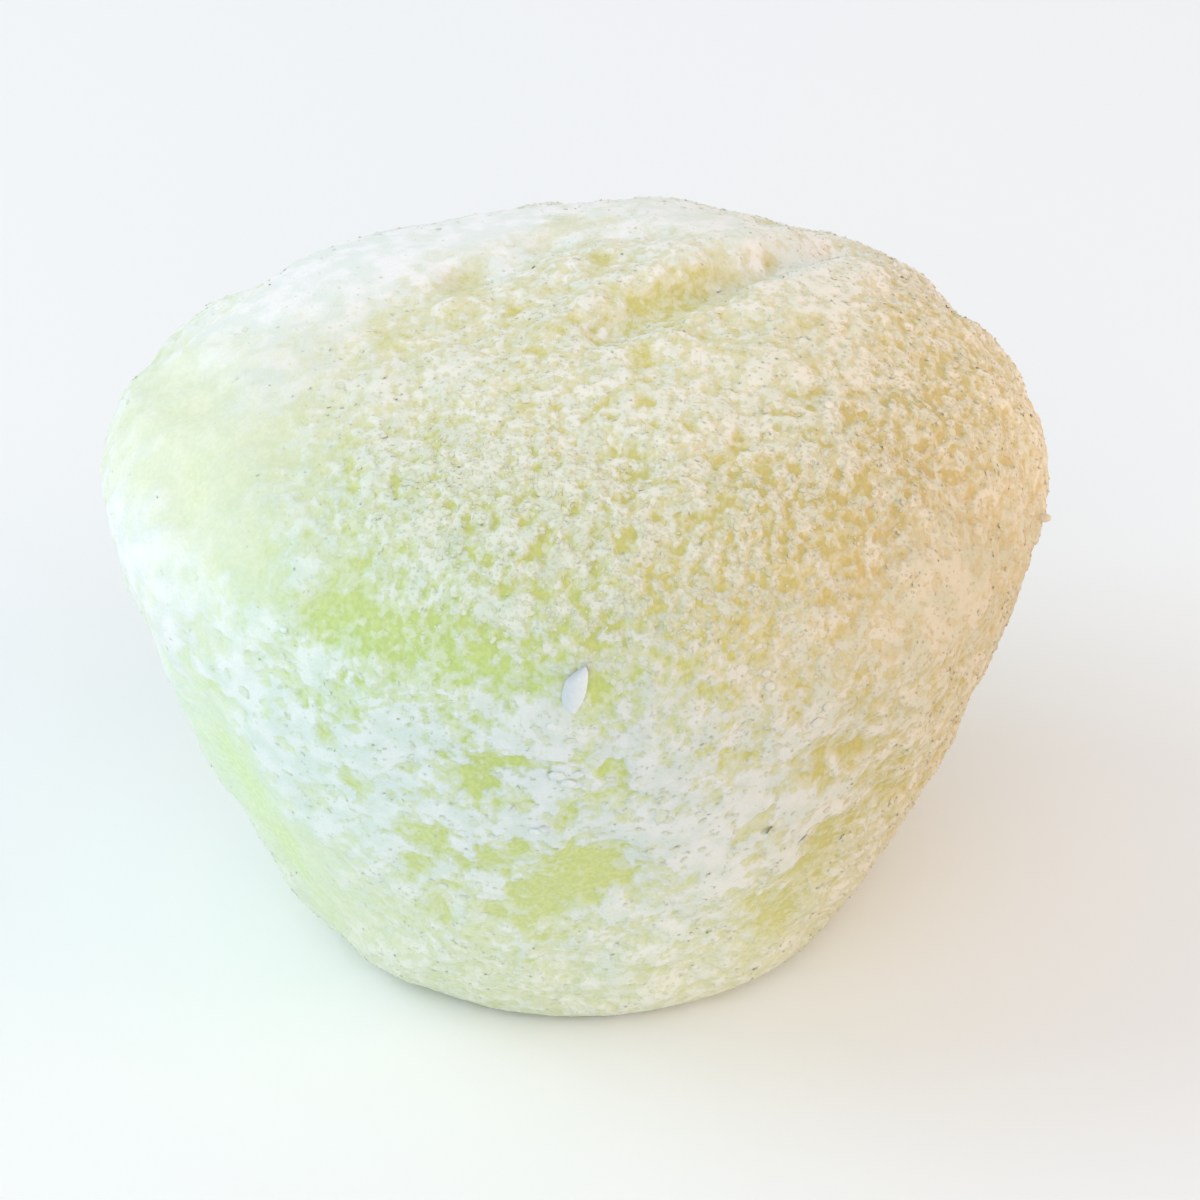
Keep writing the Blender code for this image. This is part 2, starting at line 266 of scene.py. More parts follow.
# The pointed flake that stands up in the middle of the front
STANDING_FLAKE_PIXEL = (575, 713)
STANDING_FLAKE_LENGTH = 2.5
STANDING_FLAKE_THICKNESS = 0.2
STANDING_FLAKE_COLOUR = (207, 218, 221)
# Painted light: the flake's colour rises by this share towards its right edge and falls towards its left
STANDING_FLAKE_PAINTED_LIGHT_RIGHT = 0.1
STANDING_FLAKE_LEANS_OUT = -0.05
STANDING_FLAKE_BOW = 0.25
STANDING_FLAKE_SUNK = 0.12
STANDING_FLAKE_FOOT = 0.35
STANDING_FLAKE_LOWERED = 0.2
STANDING_FLAKE_ROUNDNESS = 0.8
STANDING_FLAKE_FACES_OUT = 0.3
STANDING_FLAKE_ROWS = 16
STANDING_FLAKE_COLUMNS = 8
STANDING_FLAKE_OUTLINE = (
    # share of the length, middle sideways and half width in mm
    (0.0, -0.2, 0.34),
    (0.22, -0.16, 0.46),
    (0.46, -0.05, 0.57),
    (0.72, 0.1, 0.52),
    (0.91, 0.4, 0.23),
    (1.0, 0.55, 0.02),
)

# Fine crust of the visible surface
SKIN_STEPS = 220
SKIN_PIECES = (("skin_sides", (0, 1)), ("skin_front_back", (2, 3)), ("skin_foot_top", (4, 5)))
SKIN_ATTRIBUTES = ("crust", "grain", "dough_colour_and_shade", "frost_colour_and_shade")
FINE_CRUST_HEIGHT = 0.18
FILM_EDGE = (0.1, 0.58)
THICK_FROST = (0.55, 0.92)
FILM_WHITENESS = 0.5
USUAL_COVER = 0.66
COVER_PER_FROST = 0.6
COVER_PER_CLUMP = 0.12
RAGGED_LAYERS = ((2.6, 0.35), (1.3, 0.4), (0.75, 0.35))
RAGGED_EVERYWHERE = 0.3
RAGGED_WHERE_FLAKY = 0.7
PLATE_LAYERS = ((1.8, 0.35), (1.0, 0.4))
LESS_GRAIN_ON_PLATES = 0.4
PLATE_UNEVENNESS = 0.35
PLATE_EDGE_WAVES = 2.0
PLATE_VALUES_SPREAD = 9.7
GRANULE_LAYERS = ((0.6, 0.7), (0.38, 0.5))
GRANULE_STRENGTH = 1.15
GRANULES_ALONG_Y = 0.72
PEBBLE_LENGTH = 0.45
PEBBLE_HEIGHT = 0.06
PEBBLES_WHERE_SMOOTH = 0.15
SKIN_BELOW_SOLID = 0.12
LEAST_COVER = 0.12
MOST_COVER = 1.1

# Where each noise is taken from, so that no two of them look alike
RAGGED_NOISE_AT = 7.0
GRANULE_NOISE_AT = 9.0
PEBBLE_NOISE_AT = 3.0

# Frost lets light through, so its shading is blended towards that of the smooth ball
SOFT_SKIN_SHADING = 0.5
SOFT_FROST_SHADING = 0.65

# Colours as display values from 0 to 255: the dough's own green and ochre and the frost's white, with
# painted light and shade laid on them: the left side is painted lighter and the right side darker and
# warmer, as the light falls there
DOUGH_COLOURS_AND_SHADE = (
    # azimuth, polar, colour
    (-150, 60, (236, 242, 194)),
    (-118, 72, (182, 212, 136)),
    (-110, 50, (192, 200, 118)),
    (-100, 104, (184, 204, 116)),
    (-95, 122, (202, 213, 142)),
    (-140, 118, (218, 240, 194)),
    (-90, 140, (204, 212, 160)),
    (-60, 50, (200, 188, 122)),
    (-30, 70, (196, 172, 116)),
    (-60, 110, (184, 172, 104)),
    (0, 60, (212, 197, 138)),
    (-90, 25, (215, 208, 134)),
    (90, 60, (212, 212, 156)),
    (180, 80, (204, 222, 150)),
    (60, 110, (202, 192, 132)),
)
FROST_COLOURS_AND_SHADE = (
    (-150, 80, (241, 245, 243)),
    (-120, 70, (216, 234, 218)),
    (-115, 105, (221, 239, 233)),
    (-93, 100, (214, 224, 228)),
    (-90, 138, (234, 238, 222)),
    (-75, 110, (200, 207, 204)),
    (-72, 82, (205, 204, 186)),
    (-95, 55, (218, 224, 208)),
    (-45, 60, (230, 226, 206)),
    (-38, 80, (192, 184, 152)),
    (-35, 110, (216, 209, 186)),
    (-90, 25, (238, 238, 224)),
    (0, 60, (237, 230, 206)),
    (120, 40, (250, 252, 250)),
    (50, 50, (242, 243, 236)),
    (90, 100, (230, 234, 222)),
)
COLOUR_REACH = 24.0

# Marks in the materials: noises as waves per mm and detail, cells per mm
FINE_NOISE = (4.2, 1.5)
TINY_NOISE = (8.0, 2.0)
CLOUD_NOISE = (0.8, 2.5)
FROST_NOISE = (5.0, 2.0)
CRUMB_CELLS = 2.6
CRUMBS_FROM_NOISE = 0.9
CRUMBS_FROM_CELLS = 0.8

# Shades that a noise lays on a colour: noise of the first and of the second shade, and the two shades
MOTTLED_DOUGH = (0.3, 0.7, (0.94, 0.95, 0.9), (1.05, 1.04, 1.07))
PATCHY_FROST = (0.3, 0.75, (0.95, 0.95, 0.93), (1.0, 1.0, 1.0))
CLOUDY_FROST = (0.36, 0.64, (0.93, 0.96, 0.935), (1.05, 1.03, 1.05))
GRAINY_ICE = (0.25, 0.75, (0.94, 0.94, 0.93), (1.0, 1.0, 1.0))
DOUGH_ROUGHNESS = 0.6
DOUGH_SPECULAR = 0.3
DOUGH_BUMP_HEIGHT = 0.06
DOUGH_BUMP_STRENGTH = 0.8
BUMP_FROM_TINY = 0.6
ICE_IOR = 1.31
ICE_BUMP_STRENGTH = 0.6

# Looks of the frost pieces: name, roughness and height of the grain in mm
GRAIN_LOOK = ("frost_grain", 0.45, 0.03)
FLAKE_LOOK = ("frost_milky", 0.55, 0.04)
LUMP_LOOK = ("frost_lump", 0.45, 0.04)
BLADE_LOOK = ("frost_blade", 0.4, 0.03)

# Loose frost. Lengths in mm run from the least to the most, and few are long where the bias is high.
# Widths are shares of the length. Heights are an amount in mm and a share of the length. Sunk is a share
# of the height, and lean is in degrees. The chance of a piece rises with the frost and with its kind.
GRAINS = {
    "count": 20000,
    "lengths": (0.12, 0.26),
    "bias": 2.2,
    "widths": (0.6, 1.0),
    "heights": (0.05, 0.3),
    "sunk": 0.5,
    "lean": 30,
    "uneven": 0.3,
    "anywhere": 0.01,
    "on_bare": 0.05,
    "gathering": 2,
}
CRYSTALS = {
    "count": 5000,
    "lengths": (0.2, 0.5),
    "bias": 2.2,
    "widths": (0.6, 1.0),
    "heights": (0.08, 0.2),
    "sunk": 0.62,
    "lean": 12,
    "uneven": 0.25,
    "anywhere": 0.0,
    "on_bare": 0.03,
    "gathering": 3,
}
FLAKES = {
    "count": 260,
    "lengths": (0.4, 1.3),
    "bias": 2.4,
    "widths": (0.4, 0.9),
    "heights": (0.2, 0.05),
    "sunk": 0.72,
    "lean": 5,
    "uneven": 0.28,
    "anywhere": 0.005,
    "on_bare": 0.05,
    "gathering": 2,
}
FLAKE_CORNERS = 7
FLAKE_TOP_WIDTH = 0.55
FLAKE_TOP_HEIGHT = 0.42
CRUSTY = (0.35, 0.8)
CLEAR_OF_FLOOR = (0.3, 1.5)
LEAST_HEIGHT = 0.02
HEIGHT_SPREAD = (0.7, 1.3)
TINT_SPREAD = (0.95, 1.05)
# Frost pieces take the dough's colour towards their sunk foot: painted light, the dough's colour shining
# through the thin ice and bounced up from the dough
DOUGH_TINTED_FOOT = 0.65
ICY_TOP = 0.92
ICY_FROM = 0.6

# Camera, as in the photograph
PHOTO_SIZE = 1200
CAMERA_LOOKS_DOWN = 31.0
CAMERA_DISTANCE = 220.0
CAMERA_FOCAL_PIXELS = 4200.0
CAMERA_AIM = (0.65, 0.0, 15.65)
SENSOR = 36.0
NEAREST_SEEN = 10.0

# Floor
FLOOR_SIDE = 3000.0
FLOOR_DROP = 0.03
FLOOR_COLOUR = (245, 248, 249)
FLOOR_ROUGHNESS = 0.6
FLOOR_SPECULAR = 0.2

# Light of the bright room. Each soft box has an azimuth and an elevation in degrees, a distance and a
# size in metres, a power in watts and a colour.
ROOM_COLOUR = (0.98, 0.97, 0.98)
ROOM_STRENGTH = 0.7
LIGHTS_AIM_HEIGHT = 15.0
SOFT_BOXES = (
    ("cool_left", 172, 36, 0.7, 0.5, 1.8, (0.7, 0.88, 0.98)),
    ("warm_right", -14, 10, 0.7, 0.4, 2.3, (1.0, 0.56, 0.3)),
    ("front_fill", -97, 30, 0.8, 0.8, 2.1, (0.93, 0.93, 1.0)),
)

rng = np.random.default_rng(SEED)
noise.seed_set(SEED)


def linear(colour):
    """Linear colour for a display colour given from 0 to 255."""
    share = np.asarray(colour, float) / 255
    return np.where(share <= 0.04045, share / 12.92, ((share + 0.055) / 1.055) ** 2.4)


def smooth_step(low, high, value):
    """A share that rises smoothly from 0 at the low value to 1 at the high one."""
    share = np.clip((value - low) / (high - low), 0.0, 1.0)
    return share * share * (3 - 2 * share)


def soft_floor(height, reach):
    """Height as it is above the reach, 0 below minus the reach, and a round edge between."""
    rise = np.clip((height + reach) / (2 * reach), 0.0, 1.0)
    return np.where(height > reach, height, reach * rise * rise)


def direction(azimuth, polar):
    """Unit vector for a place on the ball."""
    azimuth = math.radians(azimuth)
    polar = math.radians(polar)
    outness = math.sin(polar)
    return np.array((outness * math.cos(azimuth), outness * math.sin(azimuth), math.cos(polar)))


def distance_from_line(x, y, line):
    """Signed distance in plan from a line, plus on its left, and the share of its length passed."""
    lengths = [math.dist(a, b) for a, b in zip(line, line[1:])]
    nearest = np.full(x.shape, np.inf)
    signed = np.zeros(x.shape)
    share = np.zeros(x.shape)
    passed = 0.0
    for start, end, length in zip(line, line[1:], lengths):
        ahead_x = (end[0] - start[0]) / length
        ahead_y = (end[1] - start[1]) / length
        along = np.clip((x - start[0]) * ahead_x + (y - start[1]) * ahead_y, 0.0, length)
        off_x = x - start[0] - along * ahead_x
        off_y = y - start[1] - along * ahead_y
        off = np.hypot(off_x, off_y)
        closer = off < nearest
        nearest = np.where(closer, off, nearest)
        signed = np.where(closer, np.sign(ahead_x * off_y - ahead_y * off_x) * off, signed)
        share = np.where(closer, (passed + along) / sum(lengths), share)
        passed += length
    return signed, share


def top_folds(x, y, upness):
    """Height added by the two creases of the top and by the soft lip behind the front one."""
    back, back_share = distance_from_line(x, y, BACK_CREASE)
    front, front_share = distance_from_line(x, y, FRONT_CREASE)
    back_fade = np.sqrt(np.sin(math.pi * np.clip(back_share, 0.0, 1.0)))
    front_fade = np.clip(front_share / FRONT_CREASE_FADE_IN, 0.0, 1.0)
    lip_fade = np.sqrt(np.sin(math.pi * np.clip(front_share, 0.0, 1.0)))
    folds = -BACK_CREASE_DEPTH * back_fade * np.exp(-((back / CREASE_HALF_WIDTH) ** 2))
    front_depth = FRONT_CREASE_DEPTH + NOTCH_DEPTH * front_share
    folds -= front_depth * front_fade * np.exp(-((front / CREASE_HALF_WIDTH) ** 2))
    folds += LIP_HEIGHT * lip_fade * np.exp(-(((front - LIP_OFFSET) / LIP_HALF_WIDTH) ** 2))
    return folds * np.clip((upness - FOLDS_FADE_FROM) / FOLDS_FADE_OVER, 0.0, 1.0)


def ball_surface(directions, folded=True):
    """Points of the bare ball for unit directions: a low dome over flanks that taper to the foot."""
    azimuth = np.arctan2(directions[:, 1], directions[:, 0])
    outness = np.hypot(directions[:, 0], directions[:, 1])
    upness = directions[:, 2]
    upper = upness >= 0
    reach = RADIUS * (
        1
        + OVAL * np.sin(2 * azimuth)
        + ROUND_CORNERS[0] * np.cos(3 * azimuth)
        + ROUND_CORNERS[1] * np.sin(3 * azimuth)
    )
    shoulder = SHOULDER_HEIGHT + SHOULDER_TILT * np.cos(azimuth)
    dome = DOME_FULLNESS + DOME_RIGHT_FULLER * np.cos(azimuth) + DOME_BACK_FLATTER * np.sin(azimuth)
    dome_rise = np.abs(upness) ** (2 / dome)
    flank_fall = SHOULDER_SOFTNESS * np.abs(upness)
    flank_fall += (1 - SHOULDER_SOFTNESS) * np.abs(upness) ** (2 / FLANK_TAPER)
    out = reach * np.where(upper, outness ** (2 / dome), outness ** (2 / FLANK_FULLNESS))
    x = out * np.cos(azimuth) + np.where(upper, DOME_SHIFT[0] * dome_rise, 0.0)
    y = out * np.sin(azimuth) + np.where(upper, DOME_SHIFT[1] * dome_rise, FOOT_SHIFT * flank_fall)
    dome_height = shoulder + (TOP_HEIGHT - shoulder) * dome_rise
    flank_height = shoulder - (shoulder + BELOW_FLOOR) * flank_fall
    z = soft_floor(np.where(upper, dome_height, flank_height), FOOT_EDGE) - SAG_INTO_FLOOR
    if folded:
        z = z + top_folds(x, y, upness)
    points = np.column_stack((x, y, z))
    for place_azimuth, place_polar, reach, height in SWELLINGS:
        middle = direction(place_azimuth, place_polar)
        away = np.degrees(np.arccos(np.clip(directions @ middle, -1.0, 1.0)))
        points += height * np.exp(-((away / reach) ** 2))[:, None] * middle
    return points


def spread_over(directions, usual, patches):
    """A share from 0 to 1 at each direction: the usual share, more or less in soft oval patches."""
    azimuth = np.degrees(np.arctan2(directions[:, 1], directions[:, 0]))
    polar = np.degrees(np.arccos(np.clip(directions[:, 2], -1.0, 1.0)))
    amount = np.full(len(directions), usual)
    for centre, down, half_width, half_height, lean, extra in patches:
        sideways = ((azimuth - centre + 180) % 360 - 180) * math.sin(math.radians(down))
        lower = polar - down
        turn = math.radians(lean)
        wide = (sideways * math.cos(turn) + lower * math.sin(turn)) / half_width
        high = (lower * math.cos(turn) - sideways * math.sin(turn)) / half_height
        amount += extra * np.exp(-wide * wide - high * high)
    return np.clip(amount, 0.0, 1.0)


def noise_at(points, length, offset=0.0):
    """Smooth noise from about -1 to 1, with features of the given length in mm."""
    return np.array([noise.noise(Vector(point)) for point in points / length + offset])


def layered_noise(points, layers, offset):
    """Noise of several lengths, each with its own share."""
    return sum(share * noise_at(points, length, offset + length) for length, share in layers)


def plates_at(points, length):
    """A value from -1 to 1 for each of many flat angular plates of about the given length in mm."""
    values = []
    for point in points / length:
        place = Vector(point)
        place += PLATE_UNEVENNESS * noise.noise_vector(place * PLATE_EDGE_WAVES)
        middle = noise.voronoi(place)[1][0]
        values.append(noise.cell(middle * PLATE_VALUES_SPREAD))
    return np.array(values)


def camera_axes():
    """Directions to the right, up and back towards the viewer, as the camera has them."""
    down = math.radians(CAMERA_LOOKS_DOWN)
    right = np.array((1.0, 0.0, 0.0))
    up = np.array((0.0, math.sin(down), math.cos(down)))
    back = np.array((0.0, -math.cos(down), math.sin(down)))
    return right, up, back


class Photograph:
    """Finds the place on the ball that a pixel of the photograph shows."""

    def __init__(self, points, normals):
        right, up, back = camera_axes()
        ray = points - np.array(CAMERA_AIM) - CAMERA_DISTANCE * back
        depth = -(ray @ back)
        self.normals = normals
        self.pixels = np.column_stack((ray @ right, -(ray @ up))) / depth[:, None]
        self.pixels = self.pixels * CAMERA_FOCAL_PIXELS + PHOTO_SIZE / 2
        self.hidden = (normals * ray).sum(axis=1) > 0

    def nearest(self, pixel):
        """Index of the visible point of the surface that is nearest to the pixel."""
        away = np.linalg.norm(self.pixels - np.array(pixel), axis=1)
        away[self.hidden] = np.inf
        return away.argmin()

    def directions(self, index):
        """Outward normal at a point, and directions sideways and up along the surface."""
        outward = self.normals[index]
        sideways = np.cross((0.0, 0.0, 1.0), outward)
        sideways /= np.linalg.norm(sideways)
        return outward, sideways, np.cross(outward, sideways)

    def spots(self, rows, ragged):
        """More or less frost at every point, from small oval spots with ragged edges."""
        amount = np.zeros(len(self.pixels))
        for pixel, half_length, half_width, lean, extra in rows:
            turn = math.radians(lean)
            ahead = np.array((math.cos(turn), math.sin(turn)))
            aside = np.array((-math.sin(turn), math.cos(turn)))
            offset = (self.pixels - np.array(pixel)) * CAMERA_DISTANCE / CAMERA_FOCAL_PIXELS
            out = (offset @ ahead / half_length) ** 2 + (offset @ aside / half_width) ** 2
            out *= np.exp(SPOT_RAGGEDNESS * ragged)
            amount += np.where(self.hidden, 0.0, extra * np.exp(-(out ** SPOT_SHARPNESS)))
        return amount


def quad_sphere(steps):
    """Unit directions and quads of a cube blown up to a sphere, with even squares."""
    line = np.arange(steps + 1)
    first, second = np.meshgrid(line, line, indexing="ij")
    corners = []
    for axis in range(3):
        for end in (0, steps):
            lattice = np.empty((steps + 1, steps + 1, 3), int)
            lattice[..., axis] = end
            lattice[..., (axis + 1) % 3] = first
            lattice[..., (axis + 2) % 3] = second
            if end == 0:
                lattice = lattice.transpose(1, 0, 2)
            corners.append(lattice.reshape(-1, 3))
    lattice, index = np.unique(np.concatenate(corners), axis=0, return_inverse=True)
    index = index.reshape(6, steps + 1, steps + 1)
    quads = np.stack((index[:, :-1, :-1], index[:, 1:, :-1], index[:, 1:, 1:], index[:, :-1, 1:]), axis=-1)
    spread = np.tan((lattice / steps * 2 - 1) * math.pi / 4)
    return spread / np.linalg.norm(spread, axis=1)[:, None], quads.reshape(6, -1, 4)


def vertex_normals(points, faces):
    """Unit normals at the points of a closed mesh whose faces are quads or triangles."""
    across = points[faces[:, 2]] - points[faces[:, 0]]
    along = points[faces[:, -1]] - points[faces[:, 1]]
    face_normals = np.cross(across, along)
    normals = np.zeros_like(points)
    for corner in range(faces.shape[1]):
        for axis in range(3):
            normals[:, axis] += np.bincount(faces[:, corner], face_normals[:, axis], len(points))
    return normals / np.linalg.norm(normals, axis=1)[:, None]


def blended(normals, outward, share):
    """Unit normals that are turned towards the outward ones by a share."""
    soft = (1 - share) * normals + share * outward
    return soft / np.linalg.norm(soft, axis=-1)[..., None]


def mix_colours(directions, palette):
    """Colour for each direction, blended smoothly between the places of a palette."""
    total = np.zeros(len(directions))
    colour = np.zeros((len(directions), 3))
    for azimuth, polar, shade in palette:
        away = np.degrees(np.arccos(np.clip(directions @ direction(azimuth, polar), -1.0, 1.0)))
        weight = np.exp(-((away / COLOUR_REACH) ** 2)) + 1e-6 / (1 + away)
        total += weight
        colour += weight[:, None] * linear(shade)
    return colour / total[:, None]


def make_object(name, points, faces, normals, material, attributes):
    """Smooth mesh object from arrays in mm, with its origin under the middle of the foot."""
    sides = faces.shape[1]
    placed = (points - np.array((*FOOT_MIDDLE, 0.0))) * MM
    mesh = bpy.data.meshes.new(name)
    mesh.vertices.add(len(placed))
    mesh.vertices.foreach_set("co", placed.astype(np.float32).ravel())
    mesh.loops.add(faces.size)
    mesh.loops.foreach_set("vertex_index", faces.astype(np.int32).ravel())
    mesh.polygons.add(len(faces))
    mesh.polygons.foreach_set("loop_start", np.arange(0, faces.size, sides, dtype=np.int32))
    mesh.update(calc_edges=True)
    mesh.validate()
    mesh.shade_smooth()
    mesh.normals_split_custom_set_from_vertices(normals)
    for label, values in attributes.items():
        if values.ndim == 1:
            layer = mesh.attributes.new(label, "FLOAT", "POINT")
            layer.data.foreach_set("value", values.astype(np.float32))
        else:
            layer = mesh.attributes.new(label, "FLOAT_COLOR", "POINT")
            rgba = np.column_stack((values, np.ones(len(values))))
            layer.data.foreach_set("color", rgba.astype(np.float32).ravel())
    mesh.materials.append(material)
    thing = bpy.data.objects.new(name, mesh)
    bpy.context.scene.collection.objects.link(thing)
    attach(thing, BODY)
    return thing


class Nodes:
    """Short ways to build a node material."""

    def __init__(self, name):
        self.material = bpy.data.materials.new(name)
        self.material.use_nodes = True
        self.tree = self.material.node_tree
        self.shader = self.tree.nodes["Principled BSDF"]

    def add(self, kind, **settings):
        node = self.tree.nodes.new(kind)
        for key, value in settings.items():
            setattr(node, key, value)
        return node

    def link(self, output, socket):
        self.tree.links.new(output, socket)

    def attribute(self, name):
        return self.add("ShaderNodeAttribute", attribute_name=name)

    def math(self, operation, first, second):
        node = self.add("ShaderNodeMath", operation=operation)
        for socket, value in zip(node.inputs, (first, second)):
            if isinstance(value, (int, float)):
                socket.default_value = value
            else:
                self.link(value, socket)
        return node.outputs[0]

    def place(self):
        """Place on the object, a little drawn out along Y as the granules are."""
        place = self.add("ShaderNodeTexCoord")
        stretch = self.add("ShaderNodeVectorMath", operation="MULTIPLY")
        stretch.inputs[1].default_value = (1.0, GRANULES_ALONG_Y, 1.0)
        self.link(place.outputs["Object"], stretch.inputs[0])
        return stretch.outputs["Vector"]

    def noise(self, per_mm, detail):
        node = self.add("ShaderNodeTexNoise")
        node.inputs["Scale"].default_value = per_mm / MM
        node.inputs["Detail"].default_value = detail
        self.link(self.place(), node.inputs["Vector"])
        return node.outputs["Fac"]

    def cells(self, per_mm):
        """A value from 0 to 1 for each of many small angular cells."""
        node = self.add("ShaderNodeTexVoronoi")
        node.inputs["Scale"].default_value = per_mm / MM
        self.link(self.place(), node.inputs["Vector"])
        split = self.add("ShaderNodeSeparateColor")
        self.link(node.outputs["Color"], split.inputs["Color"])
        return split.outputs["Red"]

    def ramp(self, value, low, high):
        node = self.add("ShaderNodeMapRange", interpolation_type="SMOOTHSTEP")
        node.inputs["From Min"].default_value = low
        node.inputs["From Max"].default_value = high
        self.link(value, node.inputs["Value"])
        return node.outputs["Result"]

    def mix(self, share, first, second, blend="MIX"):
        node = self.add("ShaderNodeMix", data_type="RGBA", blend_type=blend)
        sockets = (node.inputs["Factor"], node.inputs["A"], node.inputs["B"])
        for socket, value in zip(sockets, (share, first, second)):
            if isinstance(value, (int, float)):
                socket.default_value = value
            elif isinstance(value, tuple):
                socket.default_value = (*value, 1.0)
            else:
                self.link(value, socket)
        return node.outputs["Result"]

    def shaded(self, colour, value, low, high, first, second):
        """The colour times a shade that turns from the first to the second as the value rises."""
        return self.mix(1.0, colour, self.mix(self.ramp(value, low, high), first, second), "MULTIPLY")

    def bump(self, height, depth_mm, strength):
        node = self.add("ShaderNodeBump")
        node.inputs["Strength"].default_value = strength
        node.inputs["Distance"].default_value = depth_mm * MM
        self.link(height, node.inputs["Height"])
        self.link(node.outputs["Normal"], self.shader.inputs["Normal"])


def dough_material():
    """Soft pale dough where it is bare, under a thin milky film of frost that whitens where it is thick."""
    look = Nodes("frosted_dough")
    fine = look.noise(*FINE_NOISE)
    tiny = look.noise(*TINY_NOISE)
    cells = look.cells(CRUMB_CELLS)
    crust = look.attribute("crust").outputs["Fac"]
    grain = look.attribute("grain").outputs["Fac"]
    from_noise = look.math("MULTIPLY", look.math("SUBTRACT", fine, 0.5), CRUMBS_FROM_NOISE)
    from_cells = look.math("MULTIPLY", look.math("SUBTRACT", cells, 0.5), CRUMBS_FROM_CELLS)
    crumbs = look.math("ADD", from_noise, from_cells)
    crust = look.math("ADD", crust, look.math("MULTIPLY", crumbs, grain))
    film = look.math("MULTIPLY", look.ramp(crust, *FILM_EDGE), FILM_WHITENESS)
    thick = look.math("MULTIPLY", look.ramp(crust, *THICK_FROST), 1 - FILM_WHITENESS)
    white = look.math("ADD", film, thick)
    # Both colours carry painted shade: lighter on the left side of the ball, darker on the right
    dough = look.attribute("dough_colour_and_shade").outputs["Color"]
    dough = look.shaded(dough, fine, *MOTTLED_DOUGH)
    frost = look.attribute("frost_colour_and_shade").outputs["Color"]
    frost = look.shaded(frost, tiny, *PATCHY_FROST)
    frost = look.shaded(frost, look.noise(*CLOUD_NOISE), *CLOUDY_FROST)
    look.link(look.mix(white, dough, frost), look.shader.inputs["Base Color"])
    look.shader.inputs["Roughness"].default_value = DOUGH_ROUGHNESS
    look.shader.inputs["Specular IOR Level"].default_value = DOUGH_SPECULAR
    grit = look.math("MULTIPLY", look.math("MULTIPLY", tiny, grain), BUMP_FROM_TINY)
    look.bump(look.math("ADD", white, grit), DOUGH_BUMP_HEIGHT, DOUGH_BUMP_STRENGTH)
    return look.material


def frost_material(name, roughness, depth_mm):
    """Milky ice with a fine grain."""
    look = Nodes(name)
    grain = look.noise(*FROST_NOISE)
    tint = look.shaded(look.attribute("frost_colour_and_shade").outputs["Color"], grain, *GRAINY_ICE)
    look.link(tint, look.shader.inputs["Base Color"])
    look.shader.inputs["Roughness"].default_value = roughness
    look.shader.inputs["IOR"].default_value = ICE_IOR
    look.bump(grain, depth_mm, ICE_BUMP_STRENGTH)
    return look.material


def make_skin():
    """The whole surface of the ball, with the solid's relief and a finer crust on it."""
    units, sides = quad_sphere(SKIN_STEPS)
    quads = sides.reshape(-1, 4)
    points = ball_surface(units)
    normals = vertex_normals(points, quads)
    amount = spread_over(units, FROST_USUAL, FROST_PATCHES)
    grain = spread_over(units, GRAIN_USUAL, GRAIN_PATCHES)
    flaky = spread_over(units, FLAKY_USUAL, FLAKY_PATCHES)
    grain *= 1 - LESS_GRAIN_ON_PLATES * flaky
    clumps = noise_at(points, CRUST_CLUMP) + 0.5 * noise_at(points * 2, CRUST_CLUMP)
    dents = noise_at(points, SOFT_DENT_LENGTH)
    steep = 0.5 + CRUST_STEEPNESS * (amount - FROST_USUAL + CRUST_PATCHINESS * clumps)
    relief = CRUST_HEIGHT * (np.clip(steep, 0.0, 1.0) - 0.5) + SOFT_DENT * dents
    ragged = layered_noise(points, RAGGED_LAYERS, RAGGED_NOISE_AT)
    stretched = points * (1.0, GRANULES_ALONG_Y, 1.0)
    granules = layered_noise(stretched, GRANULE_LAYERS, GRANULE_NOISE_AT)
    cover = USUAL_COVER + COVER_PER_FROST * (amount - FROST_USUAL) + COVER_PER_CLUMP * clumps
    cover += (RAGGED_EVERYWHERE * grain + RAGGED_WHERE_FLAKY * flaky) * ragged
    plates = sum(share * plates_at(points, length) for length, share in PLATE_LAYERS)
    cover += flaky * plates
    photograph = Photograph(points, normals)
    cover += photograph.spots(BARE_SPOTS + SINGLE_FLAKES, ragged)
    cover = np.clip(cover, LEAST_COVER, MOST_COVER)
    crust = cover + GRANULE_STRENGTH * grain * granules
    mask = 0.5 * smooth_step(*FILM_EDGE, crust) + 0.5 * smooth_step(*THICK_FROST, crust)
    pebbles = noise_at(points, PEBBLE_LENGTH, PEBBLE_NOISE_AT)
    fine = FINE_CRUST_HEIGHT * (mask - 0.5) + PEBBLE_HEIGHT * pebbles * (PEBBLES_WHERE_SMOOTH + grain)
    fine -= SKIN_BELOW_SOLID
    above_foot = np.clip(points[:, 2] / FOOT_EDGE, 0.0, 1.0)
    outward = normals
    points = points + outward * ((relief + fine) * above_foot)[:, None]
    points[:, 2] = np.maximum(points[:, 2], 0.0)
    skin = {
        "points": points,
        "quads": quads,
        "cover": cover,
        "grain": grain,
        "flaky": flaky,
        "crust": crust,
        "outward": outward,
        "photograph": Photograph(points, outward),
        # Dough and frost colours by place, with painted shade: lighter on the left side, darker and warmer
        # on the right
        "dough_colour_and_shade": mix_colours(units, DOUGH_COLOURS_AND_SHADE),
        "frost_colour_and_shade": mix_colours(units, FROST_COLOURS_AND_SHADE),
    }
    smooth = vertex_normals(ball_surface(units, folded=False), quads)
    normals = blended(vertex_normals(points, quads), smooth, SOFT_SKIN_SHADING)
    material = dough_material()
    for name, pair in SKIN_PIECES:
        part, used = np.unique(sides[list(pair)].reshape(-1, 4), return_inverse=True)
        attributes = {label: skin[label][part] for label in SKIN_ATTRIBUTES}
        thing = make_object(name, points[part], used.reshape(-1, 4), normals[part], material, attributes)
        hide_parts(NODE)
    return skin


